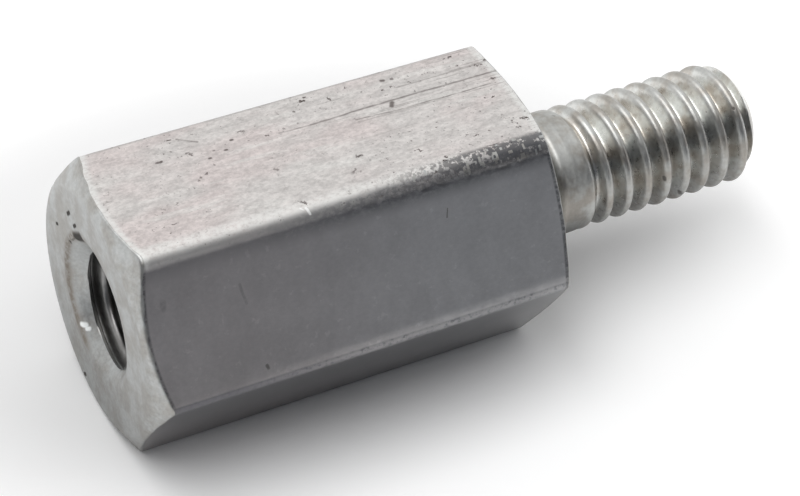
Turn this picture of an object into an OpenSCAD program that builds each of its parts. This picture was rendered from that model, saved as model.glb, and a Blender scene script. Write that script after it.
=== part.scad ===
// Male-female hexagonal standoff with M4 threads.
// It is one length of drawn hexagonal bar: the stud, the relief behind its
// thread, both end chamfers and the tapped hole are all turned or drilled.
// It lies on one flat, with its axis along X and its stud towards +X.
// The stud's thread follows its true helix. The hole's thread stays plain, at
// the size of its tapping drill.

/* [Hexagonal body] */
// Width across the flats of the bar
across_flats = 8; // [7.5:0.1:10]
// Radius of the drawn bar's long edges
bar_edge_r = 0.3; // [0.1:0.05:0.5]
// Length of the body, from its end face to its shoulder
body_l = 13.5; // [13:0.5:40]

/* [End chamfers] */
// How far inside the flats the chamfer of the end face starts
end_chamfer_inset = 0.175; // [0.05:0.025:0.6]
// Angle of that chamfer, measured from the end face
end_chamfer_angle = 30; // [15:1:45]
// How far inside the flats the chamfer of the shoulder starts
shoulder_chamfer_inset = 0.2; // [0.05:0.025:0.6]
// Angle of that chamfer, measured from the shoulder
shoulder_chamfer_angle = 15; // [5:1:45]

/* [Threads] */
// Nominal diameter of both threads
thread_d = 4; // [3.8:0.1:4.5]
// Pitch of both threads
thread_pitch = 0.7; // [0.5:0.05:0.75]
// How much smaller than nominal the stud measures over its crests
crest_allowance = 0.1; // [0.02:0.01:0.16]

/* [Tapped hole] */
// Depth of the full-width hole, from the end face
hole_depth = 10.5; // [6:0.1:11.5]
// How much wider than the thread the countersink is at the end face
countersink_extra_d = 0.4; // [0.1:0.05:1]
// Full angle of the countersink
countersink_angle = 90; // [60:1:120]
// Full angle of the drill's point at the bottom of the hole
drill_point_angle = 118; // [90:1:140]

/* [Stud] */
// Length of the stud, from the shoulder to its tip
stud_l = 8.6; // [6:0.1:20]
// Length of the rounded end
tip_l = 0.8; // [0.4:0.05:1.2]
// Diameter of the small flat left in the middle of the rounded end
tip_flat_d = 1.8; // [1:0.1:2.4]

/* [Relief behind the thread] */
// Length of the relief, from the shoulder
relief_l = 1.48; // [1:0.02:2]
// Depth of the relief below the crests, at the shoulder
relief_root_depth = 0.25; // [0.15:0.01:0.4]
// Depth of the relief below the crests, where the thread begins
relief_end_depth = 0.1; // [0.05:0.01:0.15]
// Radius of the fillet between the relief and the shoulder
relief_fillet_r = 0.3; // [0.1:0.05:0.5]
// Length of the plain collar between the relief and the thread
collar_l = 0.42; // [0.3:0.02:0.8]

/* [Hidden] */
$fn = 96;

// Overlap of solids that are joined, and of cuts beyond a face
overlap = 0.01;

// The bar's rounded edges meet its flats at a slight crease
flat_apothem = across_flats / 2;
edge_crease_angle = 10;
edge_centre_r = (flat_apothem - bar_edge_r * cos(edge_crease_angle)) / cos(30);

// The turned cones at both ends, carried out to clear the bar's edges
turning_clearance = 1;
turned_r = edge_centre_r + bar_edge_r + turning_clearance;
end_face_r = flat_apothem - end_chamfer_inset;
shoulder_face_r = flat_apothem - shoulder_chamfer_inset;
end_cone_l = (turned_r - end_face_r) * tan(end_chamfer_angle);
shoulder_cone_l = (turned_r - shoulder_face_r) * tan(shoulder_chamfer_angle);

// The hole: its tapping drill, its countersink and its conical bottom
hole_r = (thread_d - thread_pitch) / 2;
countersink_r = (thread_d + countersink_extra_d) / 2;
countersink_l = (countersink_r - hole_r) / tan(countersink_angle / 2);
drill_point_l = hole_r / tan(drill_point_angle / 2);

// Radii and stations of the stud, counted from the shoulder
stud_r = (thread_d - crest_allowance) / 2;
relief_root_r = stud_r - relief_root_depth;
relief_end_r = stud_r - relief_end_depth;
thread_start_l = relief_l + relief_end_depth;
tip_start_l = stud_l - tip_l;

// The rounded end is part of a ball, whose centre lies this deep behind it
tip_flat_r = tip_flat_d / 2;
tip_depth = (pow(stud_r, 2) - pow(tip_flat_r, 2) - pow(tip_l, 2)) / (2 * tip_l);
tip_centre_l = tip_start_l - tip_depth;
tip_r = norm([stud_r, tip_depth]);

total_l = body_l + stud_l;

// The stud's thread has the depth of the standard 60 degree section with a
// rounded root. It starts a little below the collar and reaches its full
// depth over its first pitch.
thread_depth = thread_pitch * cos(30) * 17 / 24;
thread_first_l = thread_start_l + collar_l;
thread_first_drop = 0.02;
thread_steps = 24;

// One pitch of its section, from a crest on: [share of pitch, share of depth]
thread_section = [
  [0, 0],
  [0.12, 0.1],
  [0.3, 0.6],
  [0.5, 1],
  [0.7, 0.6],
  [0.88, 0.1]
];

// The screw that the thread is cut from starts inside the collar, where one
// crest faces +Y, and its last whole turn starts past the tip
screw_start_l = thread_first_l - 1.37 * thread_pitch;
screw_turns = ceil((stud_l - screw_start_l) / thread_pitch);

// Section of the drawn bar: a hexagon with small rounds for corners. The core
// fills it between the rounds, and its rim stays within them.
module bar_section() {
  core_r = norm([flat_apothem, edge_centre_r * sin(30)]);
  intersection() {
    rotate(30)
      circle(r = flat_apothem / cos(30), $fn = 6);
    union() {
      circle(r = core_r);
      for (edge = [0:5])
        rotate(60 * edge + 30)
          translate([edge_centre_r, 0])
            circle(r = bar_edge_r, $fn = 32);
    }
  }
}

// What the lathe leaves of the bar's two ends
module turned_ends() {
  rotate_extrude()
    polygon([
      [0, 0],
      [end_face_r, 0],
      [turned_r, end_cone_l],
      [turned_r, body_l - shoulder_cone_l],
      [shoulder_face_r, body_l],
      [0, body_l]
    ]);
}

// The chamfer cones run out on the flats in six arcs at each end
module hexagonal_body() {
  intersection() {
    linear_extrude(height = body_l)
      bar_section();
    turned_ends();
  }
}

// Ring of metal in the corner between the relief and the shoulder
module relief_fillet() {
  ring_r = relief_root_r + relief_fillet_r;
  rotate_extrude()
    difference() {
      translate([0, -overlap])
        square([ring_r, relief_fillet_r + overlap]);
      translate([ring_r, relief_fillet_r])
        circle(r = relief_fillet_r, $fn = 48);
    }
}

// What the lathe takes off the stud to round its end
module tip_turning() {
  difference() {
    translate([0, 0, tip_start_l - overlap])
      cylinder(r = stud_r + turning_clearance, h = tip_l + 2 * overlap);
    translate([0, 0, tip_centre_l])
      sphere(r = tip_r);
  }
}

// How far the thread has deepened at a distance from the shoulder: 0 to 1
function deepened(l) = min(max((l - thread_first_l) / thread_pitch, 0), 1);

// A corner of the thread's section, carried along the helix by some turns
function screw_corner(corner, turns) =
  let (
    l = screw_start_l + thread_pitch * (turns + corner[0]),
    depth = thread_depth * corner[1] * deepened(l) + thread_first_drop * (1 - deepened(l)),
    angle = 360 * turns
  )
  [-(stud_r - depth) * sin(angle), (stud_r - depth) * cos(angle), l];

// Screw with the thread's section swept along its helix. Where the section
// ends, one pitch on, the next turn's section begins. A fan from a point on
// the axis closes either end.
module screw() {
  sides = len(thread_section);
  last_step = screw_turns * thread_steps;
  corners = [
    for (step = [0:last_step + thread_steps], corner = thread_section)
      screw_corner(corner, step / thread_steps)
  ];
  start_point = [0, 0, screw_start_l];
  end_point = [0, 0, screw_start_l + thread_pitch * (screw_turns + 1)];
  function at(step, side) = side < sides ? step * sides + side : (step + thread_steps) * sides;

  flanks = [
    for (step = [0:last_step - 1], side = [0:sides - 1])
      each [
        [at(step, side), at(step, side + 1), at(step + 1, side)],
        [at(step, side + 1), at(step + 1, side + 1), at(step + 1, side)]
      ]
  ];
  start_fan = [
    for (side = [0:sides - 1]) [len(corners), at(0, side + 1), at(0, side)],
    for (step = [0:thread_steps - 1]) [len(corners), at(step, 0), at(step + 1, 0)]
  ];
  end_fan = [
    for (side = [0:sides - 1]) [len(corners) + 1, at(last_step, side), at(last_step, side + 1)],
    for (step = [last_step:last_step + thread_steps - 1]) [len(corners) + 1, at(step + 1, 0), at(step, 0)]
  ];
  polyhedron(
    points = concat(corners, [start_point, end_point]),
    faces = concat(flanks, start_fan, end_fan)
  );
}

// The screw's part from inside the collar to the end of the stud
module thread() {
  from_l = thread_first_l - 5 * overlap;
  intersection() {
    screw();
    translate([0, 0, from_l])
      cylinder(r = stud_r + turning_clearance, h = stud_l - from_l);
  }
}

// Relief and collar, standing on the shoulder
module neck() {
  relief_fillet();
  rotate_extrude()
    polygon([
      [0, -overlap],
      [relief_root_r, -overlap],
      [relief_root_r, relief_fillet_r],
      [relief_end_r, relief_l],
      [stud_r, thread_start_l],
      [stud_r, thread_first_l],
      [0, thread_first_l]
    ]);
}

module stud() {
  neck();
  difference() {
    thread();
    tip_turning();
  }
}

// Blind hole as the tapping drill and the countersink leave it
module tapped_hole() {
  rotate_extrude()
    polygon([
      [0, -overlap],
      [countersink_r + overlap * tan(countersink_angle / 2), -overlap],
      [hole_r, countersink_l],
      [hole_r, hole_depth],
      [0, hole_depth + drill_point_l]
    ]);
}

module standoff() {
  color("silver")
    translate([-total_l / 2, 0, flat_apothem])
      rotate([0, 90, 0])
        difference() {
          union() {
            hexagonal_body();
            translate([0, 0, body_l])
              stud();
          }
          tapped_hole();
        }
}

standoff();
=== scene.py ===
import math

import bmesh
import bpy
from mathutils import Matrix, Vector, noise


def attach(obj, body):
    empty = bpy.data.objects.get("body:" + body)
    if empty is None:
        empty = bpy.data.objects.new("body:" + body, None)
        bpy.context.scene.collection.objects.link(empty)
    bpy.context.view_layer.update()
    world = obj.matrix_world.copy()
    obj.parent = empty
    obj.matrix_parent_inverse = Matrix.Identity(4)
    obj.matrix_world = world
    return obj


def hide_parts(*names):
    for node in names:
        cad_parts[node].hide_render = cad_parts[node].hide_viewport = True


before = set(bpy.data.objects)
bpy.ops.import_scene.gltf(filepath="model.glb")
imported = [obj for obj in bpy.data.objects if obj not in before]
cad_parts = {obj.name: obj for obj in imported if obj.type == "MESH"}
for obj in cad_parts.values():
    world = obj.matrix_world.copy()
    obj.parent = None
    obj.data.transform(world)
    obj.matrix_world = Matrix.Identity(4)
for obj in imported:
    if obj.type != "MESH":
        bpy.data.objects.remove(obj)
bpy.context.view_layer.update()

# ---------------------------------------------------------------------------
# Sizes of the standoff, in millimetres, in the part's own frame
# ---------------------------------------------------------------------------
MM = 0.001
AXIS_Z = 4.0                    # height of the turning axis above the bench

END_X = -11.05                  # turned face at the tapped end
SHOULDER_X = 2.45               # turned face that the stud stands on
TIP_X = 11.05                   # end of the stud

ACROSS_FLATS = 8.0
BAR_EDGE_R = 0.3
END_FACE_R = 3.825
END_CONE = math.tan(math.radians(30))
SHOULDER_FACE_R = 3.8
SHOULDER_CONE = math.tan(math.radians(15))

PITCH = 0.7
STUD_R = 1.95
STUD_ROOT_R = 1.52
CREST_X = SHOULDER_X + 2.44     # a crest of the stud's thread, towards +y
HOLE_MAJOR_R = 2.03
HOLE_R = 1.65
HOLE_CREST_X = END_X + 0.35     # a crest of the hole's thread, towards +y

RELIEF_ROOT_R = 1.70
COLLAR_R = 1.93
RELIEF_RISE_X = SHOULDER_X + 0.82   # the relief starts to rise here
RELIEF_END_X = SHOULDER_X + 1.28
RELIEF_FILLET_R = 0.42
THREAD_START_X = SHOULDER_X + 1.58

TIP_L = 0.8                     # length of the stud's rounded end, part of a ball
TIP_START_X = TIP_X - TIP_L
TIP_FLAT_R = 0.9
TIP_DEPTH = (STUD_R ** 2 - TIP_FLAT_R ** 2 - TIP_L ** 2) / (2 * TIP_L)
TIP_BALL_R = math.hypot(STUD_R, TIP_DEPTH)
TIP_CENTRE_X = TIP_START_X - TIP_DEPTH

COUNTERSINK_R = 2.2
COUNTERSINK_X = END_X + COUNTERSINK_R - HOLE_R
HOLE_END_X = END_X + 10.5
DRILL_POINT_LEAN = math.radians(59)
DRILL_POINT_X = HOLE_END_X + HOLE_R / math.tan(DRILL_POINT_LEAN)

# Between these two places each thread runs out from its full depth
STUD_THREAD_STARTS_X = SHOULDER_X + 1.80
STUD_THREAD_FULL_X = SHOULDER_X + 2.80
HOLE_THREAD_FULL_X = HOLE_END_X - 2.0
HOLE_THREAD_ENDS_X = HOLE_END_X - 1.0

CLOSE = 1e-4                    # corners this close to a place are taken to be there
SLACK = 1e-5                    # allowance for rounding
MERGED_WITHIN = PITCH / 400     # corners of a thread this close to each other become one

# Slots of the four finishes on the standoff
DRAWN, TURNED, CUT, TAPPED = range(4)


# ---------------------------------------------------------------------------
# Small tools for turning
# ---------------------------------------------------------------------------
def on_circle(x, radius, angle):
    return Vector((x, radius * math.cos(angle), radius * math.sin(angle)))


def angle_of(vert):
    return math.atan2(vert.co.z, vert.co.y)


def radius_of(vert):
    return math.hypot(vert.co.y, vert.co.z)


def carry_on(bm, edges, place):
    """Extrude an open rim and return the new one; place(angle, old radius) gives (x, radius)."""
    made = bmesh.ops.extrude_edge_only(bm, edges=edges)["geom"]
    corners = {g for g in made if isinstance(g, bmesh.types.BMVert)}
    for corner in corners:
        angle = angle_of(corner)
        x, radius = place(angle, radius_of(corner))
        corner.co = on_circle(x, radius, angle)
    return [e for e in made if isinstance(e, bmesh.types.BMEdge) and all(v in corners for v in e.verts)]


def turn(bm, edges, profile):
    """Carry a rim along a turned profile of (x, radius) points."""
    for x, radius in profile:
        edges = carry_on(bm, edges, lambda angle, old: (x, radius))
    return edges


def rim_at(bm, x):
    """The open edges that lie in the plane at x."""
    return [
        e for e in bm.edges
        if e.is_boundary and all(abs(v.co.x - x) < CLOSE for v in e.verts)
    ]


# ---------------------------------------------------------------------------
# Threads: one pitch of the profile swept along its helix
# ---------------------------------------------------------------------------
# From a crest to the next root: (share of the pitch, share of the depth)
CREST_SHAPE = (
    (0.00, 0.000), (0.03, 0.005), (0.06, 0.020), (0.10, 0.048), (0.14, 0.085),
    (0.18, 0.150), (0.22, 0.260), (0.28, 0.440), (0.34, 0.630), (0.40, 0.815),
    (0.46, 0.955), (0.50, 1.000),
)
STUD_STEPS = 144                # steps in one turn of the stud's thread
HOLE_STEPS = 72
RISE_CUTS = 10                  # rings from the relief up to the collar
FILLET_CUTS = 6


def sweep_thread(bm, crest_x, crest_r, root_r, from_x, to_x, steps):
    """A right-handed thread between two planes, open at both ends."""
    first = math.floor((from_x - crest_x) / PITCH) - 2
    last = math.ceil((to_x - crest_x) / PITCH) + 1
    rise = list(reversed(CREST_SHAPE[1:]))
    one_pitch = [(-share, depth) for share, depth in rise] + list(CREST_SHAPE[:-1])
    corners = [
        bm.verts.new((crest_x + (crest + share) * PITCH, crest_r + (root_r - crest_r) * depth, 0))
        for crest in range(first, last + 1) for share, depth in one_pitch
    ]
    for one, other in zip(corners, corners[1:]):
        bm.edges.new((one, other))
    bmesh.ops.spin(
        bm, geom=bm.verts[:] + bm.edges[:], cent=(0, 0, 0), axis=(1, 0, 0),
        dvec=(PITCH / steps, 0, 0), angle=math.tau, steps=steps, use_merge=False, use_duplicate=False,
    )
    bmesh.ops.remove_doubles(bm, verts=bm.verts[:], dist=MERGED_WITHIN)
    for plane_x, outwards in ((from_x, -1), (to_x, 1)):
        bmesh.ops.bisect_plane(
            bm, geom=bm.verts[:] + bm.edges[:] + bm.faces[:], dist=SLACK,
            plane_co=(plane_x, 0, 0), plane_no=(outwards, 0, 0), clear_outer=True,
        )
    for v in bm.verts:
        for plane_x in (from_x, to_x):
            if abs(v.co.x - plane_x) < CLOSE:
                v.co.x = plane_x


def ramp(value, low, high):
    """0 at low, 1 at high, and smooth between them."""
    share = min(max((value - low) / (high - low), 0), 1)
    return share * share * (3 - 2 * share)


def limit_radius(bm, allowed):
    """Move each corner to the radius that allowed(x, radius) gives."""
    for v in bm.verts:
        radius = radius_of(v)
        wanted = allowed(v.co.x, radius)
        if wanted != radius:
            v.co.y *= wanted / radius
            v.co.z *= wanted / radius


def ball_r(x):
    """Radius of the stud's rounded end at x."""
    return math.sqrt(max(TIP_BALL_R ** 2 - (x - TIP_CENTRE_X) ** 2, 0))


def make_stud():
    bm = bmesh.new()
    thread_end_x = TIP_X - 0.3
    sweep_thread(bm, CREST_X, STUD_R, STUD_ROOT_R, THREAD_START_X, thread_end_x, STUD_STEPS)

    def cut_depth(x, radius):
        # the die backs off next to the relief, and the tip is rounded over the thread
        radius = STUD_R + (radius - STUD_R) * ramp(x, STUD_THREAD_STARTS_X, STUD_THREAD_FULL_X)
        return min(radius, ball_r(x)) if x > TIP_START_X - 0.1 else radius

    limit_radius(bm, cut_depth)

    # the rounded end closes in a small flat with a softened rim
    tip = [(x, ball_r(x)) for x in (TIP_X - 0.22, TIP_X - 0.14, TIP_X - 0.06)]
    tip += [(TIP_X - 0.01, ball_r(TIP_X - 0.01) - 0.01), (TIP_X, TIP_FLAT_R - 0.06)]
    rim = turn(bm, rim_at(bm, thread_end_x), tip)
    bmesh.ops.contextual_create(bm, geom=rim)

    # from the collar down to the relief, and along its fillet to the shoulder
    foot_x = SHOULDER_X + RELIEF_FILLET_R
    neck = [(THREAD_START_X - 0.06, COLLAR_R)]
    for step in range(RISE_CUTS + 1):
        x = RELIEF_END_X + (RELIEF_RISE_X - RELIEF_END_X) * step / RISE_CUTS
        neck.append((x, RELIEF_ROOT_R + (COLLAR_R - RELIEF_ROOT_R) * ramp(x, RELIEF_RISE_X, RELIEF_END_X)))
    for step in range(FILLET_CUTS + 1):
        lean = math.radians(90 * step / FILLET_CUTS)
        x = foot_x - RELIEF_FILLET_R * math.sin(lean)
        neck.append((x, RELIEF_ROOT_R + RELIEF_FILLET_R * (1 - math.cos(lean))))
    turn(bm, rim_at(bm, THREAD_START_X), neck)
    return bm


def make_hole():
    bm = bmesh.new()
    mouth_x = END_X + 0.20
    bottom_x = HOLE_END_X - 0.3
    sweep_thread(bm, HOLE_CREST_X, HOLE_R, HOLE_MAJOR_R, mouth_x, bottom_x, HOLE_STEPS)

    def cut_depth(x, radius):
        # the tap stops short of the drill's point, and the mouth is countersunk
        radius = HOLE_R + (radius - HOLE_R) * (1 - ramp(x, HOLE_THREAD_FULL_X, HOLE_THREAD_ENDS_X))
        return max(radius, COUNTERSINK_R - (x - END_X))

    limit_radius(bm, cut_depth)
    turn(bm, rim_at(bm, mouth_x), [
        (END_X + 0.12, COUNTERSINK_R - 0.11), (END_X + 0.06, COUNTERSINK_R - 0.03),
        (END_X + 0.02, COUNTERSINK_R + 0.06), (END_X, COUNTERSINK_R + 0.15),
    ])
    rim = turn(bm, rim_at(bm, bottom_x), [(HOLE_END_X, HOLE_R), (DRILL_POINT_X - 0.05, 0.08)])
    bmesh.ops.contextual_create(bm, geom=rim)
    return bm


# ---------------------------------------------------------------------------
# Body: the drawn bar with its two turned ends
# ---------------------------------------------------------------------------
FLAT_CUTS = 24                  # strips across each flat
EDGE_CUTS = 8                   # strips across each rounded edge
BAR_RINGS = 180                 # rings along the bar
END_WEAR = 0.06                 # how far the turned cones' edges are worn
SHOULDER_WEAR = 0.03
WEAR_GRAIN_R = 9                # a larger circle makes that wear vary in shorter stretches
END_RING = 0.25                 # widths of the flat rings inside the turned cones
SHOULDER_RING = 0.15
FRONT_EDGE = 2                  # the long edge that took most of the wear
RUBBED_EDGE_R = 0.45            # its radius at the tapped end
RUBBED_EDGE_GAIN = 0.20         # how much rounder it gets towards the shoulder
BITES_FROM_X = -4.5             # the bites out of it get deeper between these places
BITES_FULL_X = 0.0
LEAST_BITE = 0.006
BITE_GAIN = 0.026
TURNED_LEAN = 0.1               # a face that faces along the axis by more than this is turned
SECTOR = math.radians(60)
TAN_30 = math.tan(SECTOR / 2)


def edge_centre(radius):
    return (ACROSS_FLATS / 2 - radius) / math.cos(SECTOR / 2)


EDGE_LEAN = math.atan2(BAR_EDGE_R / 2, edge_centre(BAR_EDGE_R) + BAR_EDGE_R * math.cos(SECTOR / 2))


def edge_round(x, edge):
    """Radius of one of the bar's long edges at x."""
    if edge != FRONT_EDGE:
        return BAR_EDGE_R
    return RUBBED_EDGE_R + RUBBED_EDGE_GAIN * ramp(x, END_X, SHOULDER_X - 2)


def knocked_back(x, angle):
    """Depth of the small bites out of the front edge."""
    place = on_circle(x, ACROSS_FLATS / 2, angle)
    bites = max(noise.noise(place * 2.6), 0) + max(noise.noise(place * 6.0), 0)
    return (LEAST_BITE + BITE_GAIN * ramp(x, BITES_FROM_X, BITES_FULL_X)) * bites


def bar_section(x, bearing):
    """Radius and angle on the drawn surface at x, for the strip that starts at this bearing."""
    edge = round(bearing / SECTOR)
    lean = bearing - edge * SECTOR
    radius = edge_round(x, edge % 6)
    centre = edge_centre(radius)
    if abs(lean) <= EDGE_LEAN + SLACK:
        share = min(max(edge_centre(BAR_EDGE_R) * math.sin(lean) / BAR_EDGE_R, -1), 1)
        swing = lean + math.asin(share)
        across, out = radius * math.sin(swing), centre + radius * math.cos(swing)
        angle = edge * SECTOR + math.atan2(across, out)
        lost = knocked_back(x, angle) * (1 - share * share) if edge % 6 == FRONT_EDGE else 0
        return math.hypot(across, out) - lost, angle
    middle = (edge + math.copysign(0.5, lean)) * SECTOR
    share = math.tan(bearing - middle) / math.tan(SECTOR / 2 - EDGE_LEAN)
    across = share * centre / 2
    return math.hypot(ACROSS_FLATS / 2, across), middle + math.atan2(across, ACROSS_FLATS / 2)


def rounded(cone_side, corner, bar_side, share):
    """A point of the worn edge between a turned cone and the bar."""
    a, b, c = (1 - share) ** 2, 2 * share * (1 - share), share ** 2
    return tuple(a * p + b * q + c * r for p, q, r in zip(cone_side, corner, bar_side))


def make_body():
    bm = bmesh.new()
    bearing = bm.verts.layers.float.new("bearing")
    corner_r = ACROSS_FLATS / 2 / math.cos(SECTOR / 2)
    bmesh.ops.create_circle(bm, cap_ends=False, segments=6, radius=corner_r)
    bmesh.ops.subdivide_edges(bm, edges=bm.edges[:], cuts=FLAT_CUTS - 1)
    bmesh.ops.bevel(
        bm, geom=[v for v in bm.verts if v.co.length > corner_r - CLOSE],
        offset=BAR_EDGE_R * TAN_30, offset_type="OFFSET",
        segments=EDGE_CUTS, profile=0.5, affect="VERTICES", material=-1,
    )
    upright = Matrix.Rotation(math.radians(90), 3, "Y")
    bmesh.ops.rotate(bm, verts=bm.verts[:], cent=(0, 0, 0), matrix=upright)
    for v in bm.verts:
        v[bearing] = angle_of(v)

    def ring(edges, place):
        """Extrude an open rim and return the new one; place(bearing) gives each corner."""
        made = bmesh.ops.extrude_edge_only(bm, edges=edges)["geom"]
        corners = {g for g in made if isinstance(g, bmesh.types.BMVert)}
        for corner in corners:
            corner.co = place(corner[bearing])
        return [e for e in made if isinstance(e, bmesh.types.BMEdge) and all(v in corners for v in e.verts)]

    def bar_at(x):
        def place(strip):
            radius, angle = bar_section(x, strip)
            return on_circle(x, radius, angle)
        return place

    def scallop(face_x, face_r, cone, inwards, most_wear, share):
        """The arcs in which a turned cone meets the flats: share runs from the cone to the bar."""
        slant = math.hypot(1, cone)

        def place(strip):
            radius, angle = bar_section(face_x, strip)
            wear = most_wear * (1 + noise.noise(on_circle(face_x, WEAR_GRAIN_R, angle)))
            x = face_x + inwards * (radius - face_r) * cone
            worn = rounded(
                (x - inwards * wear * cone / slant, radius - wear / slant), (x, radius),
                (x + inwards * wear, radius), share,
            )
            return on_circle(*worn, angle)
        return place

    section = bm.edges[:]
    shares = (0, 0.25, 0.5, 0.75, 1)
    place = scallop(END_X, END_FACE_R, END_CONE, 1, END_WEAR, shares[0])
    for v in bm.verts:
        v.co = place(v[bearing])
    rim = section
    for share in shares[1:]:
        rim = ring(rim, scallop(END_X, END_FACE_R, END_CONE, 1, END_WEAR, share))
    first_x, last_x = END_X + 0.6, SHOULDER_X - 0.35
    for step in range(BAR_RINGS + 1):
        rim = ring(rim, bar_at(first_x + (last_x - first_x) * step / BAR_RINGS))
    for share in reversed(shares):
        rim = ring(rim, scallop(SHOULDER_X, SHOULDER_FACE_R, SHOULDER_CONE, -1, SHOULDER_WEAR, share))
    turn(bm, rim, [(SHOULDER_X, SHOULDER_FACE_R), (SHOULDER_X, SHOULDER_FACE_R - SHOULDER_RING)])
    turn(bm, section, [(END_X, END_FACE_R), (END_X, END_FACE_R - END_RING)])
    return bm


def join(bm, other, finish):
    """Add another mesh to this one, all in one finish."""
    for face in other.faces:
        face.material_index = finish
    mesh = bpy.data.meshes.new("joined")
    other.to_mesh(mesh)
    other.free()
    bm.from_mesh(mesh)
    bpy.data.meshes.remove(mesh)


def make_standoff():
    bm = make_body()
    bm.normal_update()
    for face in bm.faces:
        face.material_index = TURNED if abs(face.normal.x) > TURNED_LEAN else DRAWN
    join(bm, make_stud(), CUT)
    join(bm, make_hole(), TAPPED)
    # the countersink has the finish of the turned face
    for face in bm.faces:
        if face.material_index == TAPPED and face.calc_center_median().x < COUNTERSINK_X - 0.02:
            face.material_index = TURNED
    # a flat ring closes the part at both turned faces
    for face_x in (END_X, SHOULDER_X):
        made = bmesh.ops.triangle_fill(bm, edges=rim_at(bm, face_x), use_beauty=True, normal=(1, 0, 0))
        for face in (g for g in made["geom"] if isinstance(g, bmesh.types.BMFace)):
            face.material_index = TURNED
    bmesh.ops.recalc_face_normals(bm, faces=bm.faces[:])
    bmesh.ops.translate(bm, verts=bm.verts[:], vec=(0, 0, AXIS_Z))
    bmesh.ops.scale(bm, verts=bm.verts[:], vec=(MM, MM, MM))
    return bm


def new_piece(name, bm):
    mesh = bpy.data.meshes.new(name)
    bm.to_mesh(mesh)
    bm.free()
    piece = bpy.data.objects.new(name, mesh)
    bpy.context.scene.collection.objects.link(piece)
    mesh.polygons.foreach_set("use_smooth", [True] * len(mesh.polygons))
    mesh.set_sharp_from_angle(angle=math.radians(40))
    return piece


standoff = new_piece("hex_standoff", make_standoff())
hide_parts("standoff")
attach(standoff, "root")


# ---------------------------------------------------------------------------
# Finishes: short forms for building their nodes
# ---------------------------------------------------------------------------
def add(tree, kind, inputs, **settings):
    """Add a node and return its outputs; an input is a plain value or another node's output."""
    made = tree.nodes.new(kind)
    for name, value in settings.items():
        setattr(made, name, value)
    for name, value in inputs.items():
        if isinstance(value, bpy.types.NodeSocket):
            tree.links.new(value, made.inputs[name])
        else:
            made.inputs[name].default_value = value
    return made.outputs


def millimetres(tree, stretch=(1, 1, 1)):
    """Object coordinates in millimetres, each axis multiplied by its stretch."""
    place = add(tree, "ShaderNodeTexCoord", {})["Object"]
    return add(tree, "ShaderNodeMapping", {"Vector": place, "Scale": [s / MM for s in stretch]})["Vector"]


def grain(tree, place, scale, detail=2.0, roughness=0.5):
    return add(tree, "ShaderNodeTexNoise", {
        "Vector": place, "Scale": scale, "Detail": detail, "Roughness": roughness})["Fac"]


def fade(tree, value, low, high, to_low=0.0, to_high=1.0):
    """Carry low..high smoothly over to to_low..to_high, and hold it there beyond."""
    return add(tree, "ShaderNodeMapRange", {
        "Value": value, "From Min": low, "From Max": high, "To Min": to_low, "To Max": to_high},
        interpolation_type="SMOOTHSTEP")["Result"]


def calc(tree, operation, first, second=0.0, third=0.0):
    return add(tree, "ShaderNodeMath", {0: first, 1: second, 2: third}, operation=operation)[0]


def total(tree, values, operation="ADD"):
    result = values[0]
    for value in values[1:]:
        result = calc(tree, operation, result, value)
    return result


def blend(tree, share, under, over, blend_type="MIX"):
    return add(tree, "ShaderNodeMix", {0: share, 6: under, 7: over},
               data_type="RGBA", blend_type=blend_type)[2]


def axis_of(tree, place, axis):
    return add(tree, "ShaderNodeSeparateXYZ", {"Vector": place})[axis]


def specks(tree, place, per_mm, size, share):
    """Small round pits: one in each cell, present in only a share of the cells."""
    cells = add(tree, "ShaderNodeTexVoronoi", {"Vector": place, "Scale": per_mm})
    pick = axis_of(tree, cells["Color"], "X")
    reach = fade(tree, pick, 1 - share, 1.0, 0.0, size * per_mm)
    near = calc(tree, "SUBTRACT", reach, cells["Distance"])
    return fade(tree, near, 0.0, 0.35 * size * per_mm)


def line_mark_group():
    """Node group: 1 on the straight line from Start to End, and 0 from Width away."""
    group = bpy.data.node_groups.new("line_mark", "ShaderNodeTree")
    for name, kind in (("Place", "Vector"), ("Start", "Vector"), ("End", "Vector"), ("Width", "Float")):
        group.interface.new_socket(name, in_out="INPUT", socket_type="NodeSocket" + kind)
    group.interface.new_socket("Mark", in_out="OUTPUT", socket_type="NodeSocketFloat")
    given = group.nodes.new("NodeGroupInput").outputs

    def vector(operation, first, second):
        return add(group, "ShaderNodeVectorMath", {0: first, 1: second}, operation=operation)

    along = vector("SUBTRACT", given["End"], given["Start"])["Vector"]
    out = vector("SUBTRACT", given["Place"], given["Start"])["Vector"]
    share = calc(group, "DIVIDE", vector("DOT_PRODUCT", out, along)["Value"],
                 vector("DOT_PRODUCT", along, along)["Value"])
    share = add(group, "ShaderNodeClamp", {"Value": share})[0]
    foot = add(group, "ShaderNodeVectorMath", {0: along, "Scale": share}, operation="SCALE")["Vector"]
    away = add(group, "ShaderNodeVectorMath", {0: out, 1: foot}, operation="DISTANCE")["Value"]
    mark = fade(group, away, given["Width"], calc(group, "MULTIPLY", given["Width"], 0.35))
    group.links.new(mark, group.nodes.new("NodeGroupOutput").inputs["Mark"])
    return group


LINE_MARK = line_mark_group()


def line_mark(tree, place, start, end, width):
    return add(tree, "ShaderNodeGroup", {"Place": place, "Start": start, "End": end, "Width": width},
               node_tree=LINE_MARK)["Mark"]


def marks(tree, place, lines):
    return total(tree, [line_mark(tree, place, *line) for line in lines], "MAXIMUM")


def new_finish(name):
    finish = bpy.data.materials.new(name)
    finish.use_nodes = True
    return finish, finish.node_tree, finish.node_tree.nodes["Principled BSDF"]


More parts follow.
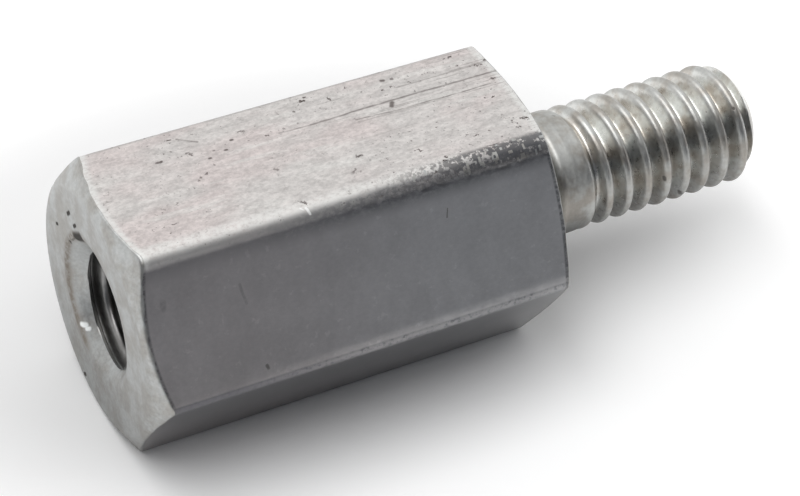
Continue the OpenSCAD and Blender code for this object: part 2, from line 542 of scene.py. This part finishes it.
def dress(tree, shader, colour, dirt, roughness, height, depth):
    """Connect a finish: dirt is no metal, and depth is the height of the relief in millimetres."""
    tree.links.new(colour, shader.inputs["Base Color"])
    tree.links.new(calc(tree, "SUBTRACT", 1.0, dirt), shader.inputs["Metallic"])
    tree.links.new(roughness, shader.inputs["Roughness"])
    relief = add(tree, "ShaderNodeBump", {"Height": height, "Strength": 1.0, "Distance": depth * MM})
    tree.links.new(relief["Normal"], shader.inputs["Normal"])


# ---------------------------------------------------------------------------
# Finishes: drawn flats, turned faces and cut threads
# ---------------------------------------------------------------------------
TOP_Z = AXIS_Z + ACROSS_FLATS / 2
DRAWN_RELIEF = 0.007            # heights of the fine relief
TURNED_RELIEF = 0.006
CUT_RELIEF = 0.006

# Handling marks on the upper flat and the two flats in front: (start, end, half width), in millimetres
DARK_SCRATCHES = (
    ((-4.85, 0.96, TOP_Z), (-3.85, 0.94, TOP_Z), 0.045),
    ((-3.85, 0.94, TOP_Z), (-1.34, 1.00, TOP_Z), 0.060),
    ((-1.34, 1.00, TOP_Z), (2.45, 0.985, TOP_Z), 0.060),
    ((-2.53, 0.63, TOP_Z), (-1.39, 0.54, TOP_Z), 0.045),
    ((-1.39, 0.54, TOP_Z), (1.92, 0.52, TOP_Z), 0.045),
    ((-7.70, 1.87, TOP_Z), (-7.20, 1.55, TOP_Z), 0.060),
)
DARK_PITS = (
    ((-1.20, 0.90, TOP_Z), (-1.28, 0.76, TOP_Z), 0.11),
    ((-1.05, 1.90, TOP_Z), (-0.98, 1.88, TOP_Z), 0.08),
    ((-0.74, 1.85, TOP_Z), (-0.70, 1.84, TOP_Z), 0.07),
    ((-7.16, 0.75, TOP_Z), (-7.12, 0.75, TOP_Z), 0.07),
    ((-6.60, 0.91, TOP_Z), (-6.55, 0.91, TOP_Z), 0.07),
    ((-6.27, 1.23, TOP_Z), (-6.22, 1.23, TOP_Z), 0.07),
    ((-7.59, -4.33, 4.50), (-7.56, -4.34, 4.42), 0.08),
    ((-1.24, -2.88, 7.01), (-1.30, -3.01, 6.79), 0.035),
)
# faint dark marks on the front flat, painted as darker colour with no dent in the shape
SIDE_DARK_MARKS = (
    ((-10.24, -2.98, 6.84), (-10.26, -3.07, 6.69), 0.13),
    ((-7.93, -3.05, 6.72), (-7.84, -3.35, 6.20), 0.06),
)
PALE_NICKS = (
    ((-5.50, -2.16, 8.00), (-5.44, -2.34, 7.90), 0.055),
    ((-5.58, -2.20, 7.99), (-5.66, -2.12, 8.00), 0.035),
)

# Tints of the drawn flats
WARM_SKIN = (0.670, 0.610, 0.595, 1)
EVEN_SKIN = (0.665, 0.638, 0.620, 1)
PALE_STREAK = (0.76, 0.745, 0.72, 1)
WARM_SIDE = (0.620, 0.585, 0.575, 1)
EVEN_SIDE = (0.645, 0.640, 0.640, 1)
# painted shade on the lower flats
LOW_SIDE_SHADE = (0.073, 0.074, 0.086, 1)
# rubbed pale front edge, with a painted highlight
RUBBED_EDGE_HIGHLIGHT = (0.78, 0.78, 0.76, 1)
RUBBED_END = (0.80, 0.80, 0.78, 1)
PALE_NICK = (0.90, 0.90, 0.89, 1)
FAR_GRIME = (0.20, 0.19, 0.18, 1)
# painted shade under the front edge
FRONT_EDGE_SHADE = (0.16, 0.16, 0.17, 1)
END_GRIME = (0.12, 0.12, 0.12, 1)
TOP_SOIL = (0.085, 0.065, 0.058, 1)
BITE_SOIL = (0.030, 0.034, 0.044, 1)
SIDE_SOIL = (0.012, 0.012, 0.012, 1)


def around_axis(tree):
    """Distance from the turning axis, in millimetres."""
    place = add(tree, "ShaderNodeTexCoord", {})["Object"]
    centred = add(tree, "ShaderNodeMapping", {
        "Vector": place, "Location": (0, 0, -AXIS_Z), "Scale": (0, 1 / MM, 1 / MM)})["Vector"]
    return add(tree, "ShaderNodeVectorMath", {0: centred}, operation="LENGTH")["Value"]


def drawn_finish():
    finish, tree, shader = new_finish("drawn_aluminium")
    place = millimetres(tree)
    x, y, z = (axis_of(tree, place, axis) for axis in "XYZ")
    top = fade(tree, z, TOP_Z - 0.40, TOP_Z - 0.10)
    sides = calc(tree, "SUBTRACT", 1.0, top)
    shaken = add(tree, "ShaderNodeTexNoise", {"Vector": place, "Scale": 3.0, "Detail": 1.0})["Color"]
    shaken = add(tree, "ShaderNodeVectorMath", {0: shaken, 1: (0.05, 0.05, 0.05), 2: place},
                 operation="MULTIPLY_ADD")["Vector"]

    # the top flat is mottled, with long pale streaks; the others are even
    mottle = grain(tree, millimetres(tree, (0.5, 1, 1)), 3.6, 5.0, 0.75)
    fine = grain(tree, millimetres(tree, (0.7, 1, 1)), 9.0, 3.0, 0.7)
    areas = grain(tree, millimetres(tree, (0.5, 1, 1)), 0.7, 2.0)
    streaks = grain(tree, millimetres(tree, (0.13, 1, 1)), 2.6, 3.0, 0.65)
    smudge = grain(tree, millimetres(tree, (1, 1, 0.4)), 1.1, 3.0, 0.6)
    skin = blend(tree, fade(tree, areas, 0.35, 0.60), WARM_SKIN, EVEN_SKIN)
    skin = blend(tree, fade(tree, streaks, 0.52, 0.68, 0.0, 0.6), skin, PALE_STREAK)
    side = blend(tree, fade(tree, x, -9.0, 0.0), WARM_SIDE, EVEN_SIDE)
    colour = blend(tree, top, side, skin)
    flecks = grain(tree, place, 3.2, 3.0, 0.7)
    broken = fade(tree, fine, 0.3, 0.6, 0.2, 1.0)
    shade = total(tree, [
        total(tree, [fade(tree, mottle, 0.36, 0.66, -0.13, 0.09), top], "MULTIPLY"),
        total(tree, [fade(tree, fine, 0.3, 0.7, -0.11, 0.09), top], "MULTIPLY"),
        total(tree, [fade(tree, smudge, 0.3, 0.7, -0.05, 0.05), sides], "MULTIPLY"),
        total(tree, [fade(tree, fine, 0.3, 0.7, -0.04, 0.04), sides], "MULTIPLY"),
        total(tree, [marks(tree, shaken, SIDE_DARK_MARKS), broken, -0.28], "MULTIPLY"),
        # painted shade: the side flats darken towards the bottom
        total(tree, [fade(tree, z, AXIS_Z + 1.6, AXIS_Z + 0.2, 0.0, -0.09), sides], "MULTIPLY"),
        total(tree, [fade(tree, flecks, 0.60, 0.72, 0.0, 0.16), sides], "MULTIPLY"),
        1.0,
    ])
    colour = blend(tree, 1.0, colour, shade, "MULTIPLY")

    # the front edge is rubbed pale above, with a painted highlight, and has painted shade below
    edge_out = calc(tree, "ADD", y, ACROSS_FLATS / 2 * TAN_30)
    edge_down = calc(tree, "SUBTRACT", z, TOP_Z)
    edge_away = calc(tree, "SQRT", calc(tree, "ADD", calc(tree, "MULTIPLY", edge_out, edge_out),
                                        calc(tree, "MULTIPLY", edge_down, edge_down)))
    rubbed_and_highlight = total(tree, [
        fade(tree, edge_away, 0.55, 0.25), fade(tree, fine, 0.3, 0.6, 0.2, 0.7),
        fade(tree, x, -3.0, 1.5, 1.0, 0.4), top,
    ], "MULTIPLY")
    colour = blend(tree, rubbed_and_highlight, colour, RUBBED_EDGE_HIGHLIGHT)
    towards_shoulder = fade(tree, x, BITES_FROM_X, 0.5)
    bitten = calc(tree, "ADD", grain(tree, place, 5.0, 3.0, 0.75), fade(tree, x, -3.0, 2.0, 0.0, 0.13))
    bites = total(tree, [
        fade(tree, bitten, 0.48, 0.58), towards_shoulder, fade(tree, edge_away, 0.50, 0.28),
    ], "MULTIPLY")
    # painted shade in a band under the front edge
    shade_under_edge = total(tree, [
        fade(tree, z, TOP_Z - 0.85, TOP_Z - 0.28, 0.0, 0.86), fade(tree, z, TOP_Z - 0.01, TOP_Z - 0.14),
        fade(tree, x, -9, -2, 0.45, 1.0), fade(tree, fine, 0.3, 0.6, 0.55, 1.0),
    ], "MULTIPLY")

    # a line of grime lies along the far edge; the lower flats get painted shade, lighter towards the
    # shoulder, and are chafed along their upper edge, where paler specks break that shade
    far_edge = total(tree, [
        fade(tree, y, 2.16, 2.32), top, fade(tree, fine, 0.3, 0.6, 0.35, 0.8),
    ], "MULTIPLY")
    colour = blend(tree, far_edge, colour, FAR_GRIME)
    low = total(tree, [
        fade(tree, z, AXIS_Z + 0.165, AXIS_Z + 0.110), fade(tree, z, 0.5, AXIS_Z, 0.54, 0.93),
        fade(tree, x, 0.5, SHOULDER_X, 1.0, 0.82),
    ], "MULTIPLY")
    from_side = calc(tree, "ABSOLUTE", calc(tree, "SUBTRACT", z, AXIS_Z))
    chafed = total(tree, [
        fade(tree, grain(tree, place, 7.0, 3.0, 0.7), 0.33, 0.54), fade(tree, from_side, 0.42, 0.10),
        fade(tree, x, -9.0, -3.0, 0.15, 1.0),
    ], "MULTIPLY")
    low = calc(tree, "MULTIPLY", low, calc(tree, "MULTIPLY_ADD", chafed, -0.42, 1.0))
    # painted shade under the front edge
    colour = blend(tree, shade_under_edge, colour, FRONT_EDGE_SHADE)
    # painted shade on the lower flats
    colour = blend(tree, low, colour, LOW_SIDE_SHADE)

    # beside both chamfers the top flat is rubbed pale, and the others hold grime
    out = around_axis(tree)
    chamfer_x = calc(tree, "MULTIPLY_ADD", out, END_CONE, END_X - END_FACE_R * END_CONE)
    behind = calc(tree, "SUBTRACT", x, chamfer_x)
    shoulder_x = calc(tree, "MULTIPLY_ADD", out, -SHOULDER_CONE,
                      SHOULDER_X + SHOULDER_FACE_R * SHOULDER_CONE)
    from_end = calc(tree, "MINIMUM", behind, calc(tree, "SUBTRACT", shoulder_x, x))
    ragged = fade(tree, fine, 0.3, 0.65, 0.3, 1.0)
    colour = blend(tree, total(tree, [fade(tree, from_end, 0.32, 0.10), ragged, top], "MULTIPLY"),
                   colour, RUBBED_END)
    colour = blend(tree, total(tree, [fade(tree, from_end, 0.16, 0.09), ragged, sides, 0.8], "MULTIPLY"),
                   colour, END_GRIME)

    # die lines, pits and scratches
    lines = grain(tree, millimetres(tree, (0.03, 1, 1)), 8.0, 2.0, 0.6)
    gaps = grain(tree, millimetres(tree, (0.4, 2, 2)), 1.0)
    lines = total(tree, [
        fade(tree, lines, 0.58, 0.64), fade(tree, gaps, 0.36, 0.52),
        fade(tree, x, -7, 0, 0.2, 1.0), fade(tree, y, -0.6, 0.6, 0.3, 1.0), top,
    ], "MULTIPLY")
    clusters = total(tree, [
        fade(tree, grain(tree, place, 0.7), 0.38, 0.60, 0.2, 1.0), fade(tree, y, 0.4, 2.1, 0.0, 0.5),
        calc(tree, "MULTIPLY", towards_shoulder, 0.4),
    ])
    pits = fade(tree, grain(tree, millimetres(tree, (0.8, 1, 1)), 3.8, 3.0, 0.7), 0.635, 0.70)
    small_pits = fade(tree, grain(tree, shaken, 8.0, 3.0, 0.7), 0.62, 0.70)
    scratches = marks(tree, shaken, DARK_SCRATCHES)
    big_pits = marks(tree, shaken, DARK_PITS)
    dirt = total(tree, [
        total(tree, [pits, clusters, top], "MULTIPLY"),
        total(tree, [small_pits, clusters, top, 0.6], "MULTIPLY"),
        calc(tree, "MULTIPLY", lines, 0.4),
        calc(tree, "MULTIPLY", scratches, 0.75),
        calc(tree, "MULTIPLY", bites, 0.9),
        big_pits,
    ], "MAXIMUM")
    soil = blend(tree, bites, TOP_SOIL, BITE_SOIL)
    soil = blend(tree, sides, soil, SIDE_SOIL)
    colour = blend(tree, calc(tree, "MULTIPLY", dirt, 0.85), colour, soil)
    colour = blend(tree, marks(tree, shaken, PALE_NICKS), colour, PALE_NICK)

    worn = calc(tree, "MAXIMUM", fade(tree, edge_away, 0.45, 0.25), chafed)
    roughness = total(tree, [0.29, calc(tree, "MULTIPLY", dirt, 0.3), calc(tree, "MULTIPLY", worn, 0.25)])
    height = total(tree, [
        calc(tree, "MULTIPLY", mottle, 0.5),
        calc(tree, "MULTIPLY", fine, 0.12),
        calc(tree, "MULTIPLY", dirt, -0.8),
    ])
    height = total(tree, [height, fade(tree, top, 0, 1, 0.06, 1.0)], "MULTIPLY")
    dress(tree, shader, colour, calc(tree, "MULTIPLY", dirt, 0.8), roughness, height, DRAWN_RELIEF)
    return finish


# Marks on the tapped end's face: (start, end, half width)
FACE_PITS = (
    ((END_X + 0.03, 1.48, 5.62), (END_X + 0.03, 1.10, 5.95), 0.27),
    ((END_X, 1.80, 5.22), (END_X, 1.48, 5.62), 0.08),
    ((END_X, 1.95, 5.05), (END_X, 1.90, 4.95), 0.09),
    ((END_X, 2.05, 6.10), (END_X, 1.90, 6.28), 0.10),
    ((END_X, 1.58, 6.01), (END_X, 1.44, 6.17), 0.09),
    ((END_X, 2.95, 4.92), (END_X, 2.85, 5.00), 0.08),
    ((END_X, 0.95, 0.40), (END_X, 0.85, 0.50), 0.10),
)
FACE_NICKS = (
    ((END_X + 0.03, 1.25, 2.25), (END_X + 0.15, 1.12, 2.29), 0.12),
    ((END_X + 0.15, 1.04, 2.22), (END_X + 0.22, 0.98, 2.24), 0.10),
)

# Tints of the turned faces
DULL_FACE = (0.385, 0.375, 0.355, 1)
CLEAN_FACE = (0.485, 0.495, 0.49, 1)
STAIN = (0.20, 0.17, 0.14, 1)
FACE_NICK = (0.88, 0.90, 0.89, 1)
FACE_SOIL = (0.035, 0.03, 0.025, 1)


def turned_finish():
    finish, tree, shader = new_finish("turned_aluminium")
    place = millimetres(tree)
    radius = around_axis(tree)
    rings = grain(tree, add(tree, "ShaderNodeCombineXYZ", {"X": radius})["Vector"], 7.0, 2.0, 0.7)
    fine = grain(tree, place, 7.0, 3.0, 0.65)
    patches = grain(tree, place, 1.0, 5.0, 0.65)
    shade = total(tree, [
        fade(tree, rings, 0.3, 0.7, -0.02, 0.02),
        fade(tree, fine, 0.3, 0.7, -0.11, 0.09),
        # painted shade: the face darkens towards the bottom
        fade(tree, axis_of(tree, place, "Z"), 0, 4.5, 0.66, 0.98),
    ])
    colour = blend(tree, fade(tree, patches, 0.38, 0.62), DULL_FACE, CLEAN_FACE)
    colour = blend(tree, 1.0, colour, shade, "MULTIPLY")
    # a worn stain runs round the far side of the countersink
    stain = total(tree, [
        fade(tree, radius, 2.05, 2.25), fade(tree, radius, 2.50, 2.30),
        fade(tree, axis_of(tree, place, "Y"), 0.2, 1.0), fade(tree, fine, 0.35, 0.6, 0.3, 0.9),
    ], "MULTIPLY")
    pits = total(tree, [specks(tree, place, 1.6, 0.06, 0.25), marks(tree, place, FACE_PITS)], "MAXIMUM")
    nicks = marks(tree, place, FACE_NICKS)
    colour = blend(tree, stain, colour, STAIN)
    colour = blend(tree, nicks, colour, FACE_NICK)
    colour = blend(tree, pits, colour, FACE_SOIL)
    roughness = total(tree, [fade(tree, fine, 0.3, 0.7, 0.38, 0.46), calc(tree, "MULTIPLY", pits, 0.4)])
    height = total(tree, [
        calc(tree, "MULTIPLY", rings, 0.25),
        calc(tree, "MULTIPLY", fine, 0.3),
        calc(tree, "MULTIPLY", pits, -1.0),
        nicks,
    ])
    dress(tree, shader, colour, pits, roughness, height, TURNED_RELIEF)
    return finish


# Pits on the stud's crests: (start, end, half width)
STUD_PITS = (
    ((7.17, -1.84, 4.26), (7.18, -1.86, 4.20), 0.10),
    ((7.98, -1.73, 3.32), (8.03, -1.70, 3.22), 0.12),
    ((6.84, -1.60, 3.06), (6.87, -1.58, 2.98), 0.11),
    ((4.33, 0.52, 5.82), (4.35, 0.46, 5.84), 0.08),
    ((4.82, -1.60, 3.00), (4.95, -1.54, 2.94), 0.10),
)

# Tints of the cut threads
DULL_STUD = (0.365, 0.345, 0.315, 1)
CLEAN_STUD = (0.48, 0.485, 0.47, 1)
# the hole's tints are darkened, as painted shade inside the hole
DULL_HOLE_SHADED = (0.24, 0.235, 0.23, 1)
CLEAN_HOLE_SHADED = (0.30, 0.295, 0.29, 1)
THREAD_SOIL = (0.10, 0.09, 0.08, 1)


def cut_finish(name, dull, bright, roughest, lowest, groove_light_and_crest_dulling):
    """Cut metal between two tints.

    Painted shade darkens it below, to the share lowest. By the last share its upper grooves get painted
    light and its crests are duller. The collar beside the relief is dull too, with painted shade on its
    lower side.
    """
    finish, tree, shader = new_finish(name)
    place = millimetres(tree)
    x, y, z = (axis_of(tree, place, axis) for axis in "XYZ")
    patches = grain(tree, place, 1.3, 3.0, 0.6)
    swarf = grain(tree, millimetres(tree, (3, 1, 1)), 3.5, 3.0, 0.6)
    fine = grain(tree, place, 9.0, 2.0, 0.6)
    shade = total(tree, [
        fade(tree, swarf, 0.3, 0.7, -0.07, 0.07),
        fade(tree, fine, 0.3, 0.7, -0.05, 0.04),
        # painted shade: darker below
        fade(tree, z, AXIS_Z - 1.8, AXIS_Z + 0.4, lowest, 1.0),
    ])
    out = around_axis(tree)
    crests = total(tree, [fade(tree, out, STUD_R - 0.14, STUD_R - 0.04), groove_light_and_crest_dulling], "MULTIPLY")
    # painted light: the stud's upper grooves are lightened
    grooves = total(tree, [
        fade(tree, out, STUD_R - 0.04, STUD_R - 0.18, 0.15, 1.0), groove_light_and_crest_dulling,
        fade(tree, y, -1.45, -0.65), fade(tree, y, -0.3, 0.9, 1.0, 0.65),
        fade(tree, z, AXIS_Z, AXIS_Z + 0.8), fade(tree, x, SHOULDER_X + 1.6, SHOULDER_X + 2.0),
    ], "MULTIPLY")
    shade = calc(tree, "MULTIPLY", shade, calc(tree, "ADD", grooves, 1.0))
    collar = total(tree, [
        fade(tree, x, RELIEF_END_X - 0.12, RELIEF_END_X + 0.06),
        fade(tree, x, SHOULDER_X + 2.3, SHOULDER_X + 1.8),
    ], "MULTIPLY")
    # painted shade on the collar's lower side
    darker = fade(tree, z, AXIS_Z + 0.5, AXIS_Z - 1.2, -0.02, -0.56)
    shade = calc(tree, "MULTIPLY", shade, calc(tree, "MULTIPLY_ADD", collar, darker, 1.0))
    colour = blend(tree, fade(tree, patches, 0.36, 0.62), dull, bright)
    colour = blend(tree, 1.0, colour, shade, "MULTIPLY")
    pits = calc(tree, "MAXIMUM", specks(tree, place, 1.3, 0.085, 0.25), marks(tree, place, STUD_PITS))
    colour = blend(tree, calc(tree, "MULTIPLY", pits, 0.8), colour, THREAD_SOIL)
    roughness = total(tree, [
        fade(tree, swarf, 0.3, 0.7, roughest - 0.10, roughest), calc(tree, "MULTIPLY", collar, 0.12),
        calc(tree, "MULTIPLY", crests, 0.14), calc(tree, "MULTIPLY", pits, 0.4),
    ])
    height = total(tree, [calc(tree, "MULTIPLY", swarf, 0.45), calc(tree, "MULTIPLY", pits, -1.0)])
    dress(tree, shader, colour, pits, roughness, height, CUT_RELIEF)
    return finish


for finish in (
    drawn_finish(),
    turned_finish(),
    cut_finish("cut_thread_aluminium", DULL_STUD, CLEAN_STUD, 0.36, 0.66, 0.75),
    cut_finish("tapped_hole_aluminium", DULL_HOLE_SHADED, CLEAN_HOLE_SHADED, 0.42, 1.0, 0.0),
):
    standoff.data.materials.append(finish)


# ---------------------------------------------------------------------------
# Bench, light and camera
# ---------------------------------------------------------------------------
BENCH_R = 2.0
BENCH_TINT = (0.9, 0.9, 0.9, 1)
BENCH_LIFT = 0.25               # what the camera and mirrors see of it as glow, away from the part
CARD_AWAY = 0.35
CARD_H = CARD_AWAY * math.tan(math.radians(52))     # from the part its top is 52 degrees up
CARD_FROM = math.radians(-178)
CARD_SWEEP = math.radians(158)
CARD_STEPS = 32
CARD_BELOW = (0.180, 0.190, 0.210, 1)
CARD_ABOVE = (0.055, 0.055, 0.060, 1)
WORLD_GREY = (0.95, 0.95, 0.95, 1)
KEY_LAMP_AT = Vector((-0.14, 0.02, 0.45))
KEY_LAMP_SIZE = (0.45, 0.15)
KEY_LAMP_WATTS = 0.7


def plain(name, colour, roughness, gloss):
    finish = bpy.data.materials.new(name)
    finish.use_nodes = True
    shader = finish.node_tree.nodes["Principled BSDF"]
    shader.inputs["Base Color"].default_value = colour
    shader.inputs["Roughness"].default_value = roughness
    shader.inputs["Specular IOR Level"].default_value = gloss
    return finish


def stage_piece(name, bm, finish):
    mesh = bpy.data.meshes.new(name)
    bm.to_mesh(mesh)
    bm.free()
    mesh.materials.append(finish)
    piece = bpy.data.objects.new(name, mesh)
    bpy.context.scene.collection.objects.link(piece)
    return piece


def bench_finish():
    """Pale matt bench, which the camera and mirrors see as white further from the part."""
    finish = plain("pale_bench", BENCH_TINT, 0.8, 0.1)
    tree = finish.node_tree
    place = millimetres(tree)

    # inside an ellipse round the part the bench stays as it is, with the part's shadow
    beside = add(tree, "ShaderNodeMapping", {
        "Vector": place, "Location": (2.2, -3.6, 0), "Scale": (0.55, 0.9, 1)})["Vector"]
    away = add(tree, "ShaderNodeVectorMath", {0: beside}, operation="LENGTH")["Value"]
    ray = add(tree, "ShaderNodeLightPath", {})
    seen = total(tree, [ray["Is Camera Ray"], ray["Is Glossy Ray"], ray["Is Transmission Ray"]])
    lift = calc(tree, "MULTIPLY", seen, fade(tree, away, 5.5, 10.5, 0.0, BENCH_LIFT))
    shader = tree.nodes["Principled BSDF"]
    shader.inputs["Emission Color"].default_value = (1, 1, 1, 1)
    tree.links.new(lift, shader.inputs["Emission Strength"])
    return finish


bm = bmesh.new()
bmesh.ops.create_circle(bm, cap_ends=True, segments=64, radius=BENCH_R)
stage_piece("bench", bm, bench_finish())


def card_finish():
    """Dark blue-grey, darker towards the top."""
    finish = plain("dark_card", CARD_BELOW, 0.9, 0.0)
    tree = finish.node_tree
    up = fade(tree, axis_of(tree, millimetres(tree), "Z"), 110, 260)
    colour = blend(tree, up, CARD_BELOW, CARD_ABOVE)
    tree.links.new(colour, tree.nodes["Principled BSDF"].inputs["Base Color"])
    return finish


# the card stands curved round the front, and the bright metal mirrors it
bm = bmesh.new()
foot = bm.verts.new((CARD_AWAY * math.cos(CARD_FROM), CARD_AWAY * math.sin(CARD_FROM), 0))
bmesh.ops.extrude_vert_indiv(bm, verts=[foot])
bm.verts.ensure_lookup_table()
bm.verts[1].co.z = CARD_H
bmesh.ops.spin(bm, geom=bm.verts[:] + bm.edges[:], cent=(0, 0, 0), axis=(0, 0, 1),
               angle=CARD_SWEEP, steps=CARD_STEPS, use_merge=False, use_duplicate=False)
card = stage_piece("dark_card", bm, card_finish())
card.visible_camera = False

world = bpy.data.worlds.new("studio")
bpy.context.scene.world = world
world.use_nodes = True
world.node_tree.nodes["Background"].inputs["Color"].default_value = WORLD_GREY

lamp = bpy.data.objects.new("key_lamp", bpy.data.lights.new("key_lamp", "AREA"))
lamp.data.shape = "RECTANGLE"
lamp.data.size, lamp.data.size_y = KEY_LAMP_SIZE
lamp.data.energy = KEY_LAMP_WATTS
lamp_turn = KEY_LAMP_AT.to_track_quat("Z", "Y").to_matrix().to_4x4()
lamp.matrix_world = Matrix.Translation(KEY_LAMP_AT) @ lamp_turn
bpy.context.scene.collection.objects.link(lamp)

# The camera looks at AIM from this bearing, height and distance
AIM = Vector((-0.8545, 0.2310, 2.4378)) * MM
AZIMUTH = math.radians(-31.0540)
ELEVATION = math.radians(43.9884)
ROLL = math.radians(5.4889)
DISTANCE = 82.9272 * MM
LENS = 120.89
back = Vector((
    math.sin(AZIMUTH) * math.cos(ELEVATION), -math.cos(AZIMUTH) * math.cos(ELEVATION), math.sin(ELEVATION),
))
right = Vector((math.cos(AZIMUTH), math.sin(AZIMUTH), 0))
right.rotate(Matrix.Rotation(ROLL, 3, back))
up = back.cross(right)
camera = bpy.data.objects.new("camera", bpy.data.cameras.new("camera"))
bpy.context.scene.collection.objects.link(camera)
facing = Matrix((right, up, back)).transposed().to_4x4()
camera.matrix_world = Matrix.Translation(AIM + DISTANCE * back) @ facing
camera.data.lens = LENS
camera.data.sensor_width = 36
camera.data.clip_start = 0.005
camera.data.clip_end = 10
bpy.context.scene.camera = camera

bpy.context.scene.view_settings.view_transform = "Standard"
